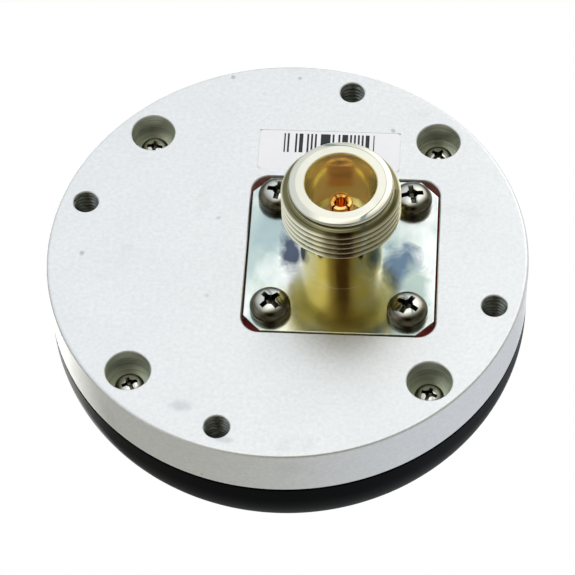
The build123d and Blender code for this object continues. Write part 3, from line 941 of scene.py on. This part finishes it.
seat(base_piece(), "base_aluminium", "base_plate")
seat(radome_piece(), "radome_black", "radome")
seat(jack_piece(), "nickel_plate", "connector_body")
seat(contact_piece(), "gold_plate", "connector_contact")
seat(
    pan_screws(
        "flange_pan_heads", FLANGE_HEAD_R, FLANGE_HEAD_H, FLANGE_SHANK_R,
        FLANGE_SEAT, FLANGE_HIGH.z, FLANGE_CENTRES, (12, 47, 78, 31),
    ),
    "screw_steel", "flange_screws",
)
seat(
    pan_screws(
        "case_pan_heads", CASE_HEAD_R, CASE_HEAD_H, CASE_SHANK_R,
        CASE_SEAT, CASE_HIGH.z, CASE_CENTRES, (20, 64, 5, 38),
    ),
    "screw_steel", "case_screws",
)
seat(label_piece(), "label_white", "serial_label")

# the pieces that keep their own shape take their finish here
for part in frame["record"]["subparts"]:
    piece = frame["nodes"][part["node"]]
    for holder in piece.material_slots:
        holder.material = FINISHES[part["material_slot"]]


# ---------------------------------------------------------------- stage, light and camera
def floor():
    """Plain pale floor, well below the antenna."""
    idle()
    bpy.ops.mesh.primitive_circle_add(vertices=96, radius=3, fill_type="NGON", location=(0, 0, -1))
    piece = bpy.context.object
    piece.name = "pale_floor"
    made = Finish("floor_paint", (0.92, 0.92, 0.92), 0, 0.8)
    patches = made.ranged(made.noise(400), 0.3, 0.7)
    made.colour(made.blend(patches, (0.93, 0.93, 0.93), (0.90, 0.90, 0.90)))
    made.shader.inputs["Emission Color"].default_value = (1, 1, 1, 1)
    made.shader.inputs["Emission Strength"].default_value = 0.3
    piece.data.materials.append(made.material)
    piece.visible_glossy = False


class Room:
    """World light built from the direction a ray leaves in."""

    def __init__(self):
        self.world = bpy.data.worlds.new("studio")
        bpy.context.scene.world = self.world
        self.world.use_nodes = True
        self.nodes, self.links = self.world.node_tree.nodes, self.world.node_tree.links
        self.nodes.clear()
        self.way = self.nodes.new("ShaderNodeTexCoord").outputs["Generated"]

    def share(self, direction, first, last):
        """0 to 1 as a ray's lean toward a direction goes from one cosine to another."""
        lean = self.nodes.new("ShaderNodeVectorMath")
        lean.operation = "DOT_PRODUCT"
        self.links.new(self.way, lean.inputs[0])
        lean.inputs[1].default_value = Vector(direction).normalized()
        made = self.nodes.new("ShaderNodeMapRange")
        made.interpolation_type = "SMOOTHSTEP"
        self.links.new(lean.outputs["Value"], made.inputs["Value"])
        made.inputs["From Min"].default_value = first
        made.inputs["From Max"].default_value = last
        return made.outputs["Result"]

    def blend(self, share, under, over):
        return mixed(self.world.node_tree, share, under, over)

    def light(self, colour):
        """Lights the room with this colour, behind a plain white backdrop."""
        lit = self.nodes.new("ShaderNodeBackground")
        self.links.new(colour, lit.inputs["Color"])
        backdrop = self.nodes.new("ShaderNodeBackground")
        backdrop.inputs["Color"].default_value = (1, 1, 1, 1)
        path = self.nodes.new("ShaderNodeLightPath")
        mix = self.nodes.new("ShaderNodeMixShader")
        self.links.new(path.outputs["Is Camera Ray"], mix.inputs["Fac"])
        self.links.new(lit.outputs["Background"], mix.inputs[1])
        self.links.new(backdrop.outputs["Background"], mix.inputs[2])
        out = self.nodes.new("ShaderNodeOutputWorld")
        self.links.new(mix.outputs["Shader"], out.inputs["Surface"])


def room_light():
    """A soft panel in front of the mounting face, with a dim strip across it, and a dimmer room above.

    The part of the room behind the viewer is dark.
    """
    room = Room()
    above = room.blend(room.share((1, -0.25, 0), -0.6, 0.7), (0.42, 0.42, 0.38), (0.66, 0.69, 0.74))
    panel = room.blend(room.share((1, 0.5, 0), -0.45, -0.10), (0.90, 0.96, 1.03), (1.80, 1.80, 1.77))
    below = room.blend(room.share((-0.6, -0.8, 0), -0.30, 0.25), (0.34, 0.34, 0.28), panel)
    gap = room.share((0.93, -0.30, 0.16), 0.05, 0.08)
    other_side = room.share((0.93, -0.30, 0.16), 0.12, 0.16)
    strip = room.blend(other_side, room.blend(gap, (0, 0, 0), (1, 1, 1)), (0, 0, 0))
    below = room.blend(strip, below, (0.34, 0.42, 0.46))
    colour = room.blend(room.share((0, 0, 1), -0.45, 0.1), below, above)
    viewer = tuple(CAMERA_PLACE.normalized())
    colour = room.blend(room.share(viewer, 0.88, 0.978), colour, (0.24, 0.20, 0.14))
    room.light(room.blend(room.share(viewer, 0.968, 0.990), colour, (0.045, 0.022, 0.014)))


def soft_light(name, place, size, watts, colour):
    """Square soft light that faces the antenna."""
    data = bpy.data.lights.new(name, "AREA")
    data.size = size
    data.energy = watts
    data.color = colour
    lamp = bpy.data.objects.new(name, data)
    bpy.context.collection.objects.link(lamp)
    lamp.location = place
    lamp.rotation_euler = (-Vector(place)).to_track_quat("-Z", "Y").to_euler()
    lamp.visible_camera = False


CAMERA_PLACE = Vector((22.1, 233.0, -324.9)) * MM
CAMERA_UP = Vector((-0.034, -0.822, -0.568))
CAMERA_AIM = Vector((0.0, 1.7, 5.7)) * MM
CAMERA_LENS = 186


def camera():
    """Camera that looks up at the mounting face."""
    data = bpy.data.cameras.new("camera")
    data.lens = CAMERA_LENS
    data.clip_start = 0.01
    data.clip_end = 20
    eye = bpy.data.objects.new("camera", data)
    bpy.context.collection.objects.link(eye)
    back = (CAMERA_PLACE - CAMERA_AIM).normalized()
    right = CAMERA_UP.cross(back).normalized()
    up = back.cross(right)
    turn = Matrix((right, up, back)).transposed().to_4x4()
    eye.matrix_world = Matrix.Translation(CAMERA_PLACE) @ turn
    bpy.context.scene.camera = eye


floor()
room_light()
soft_light("top_light", (-0.25, -0.75, 0.75), 0.9, 6, (1, 0.99, 0.97))
camera()
bpy.context.scene.view_settings.view_transform = "Standard"
bpy.context.scene.cycles.use_denoising = True
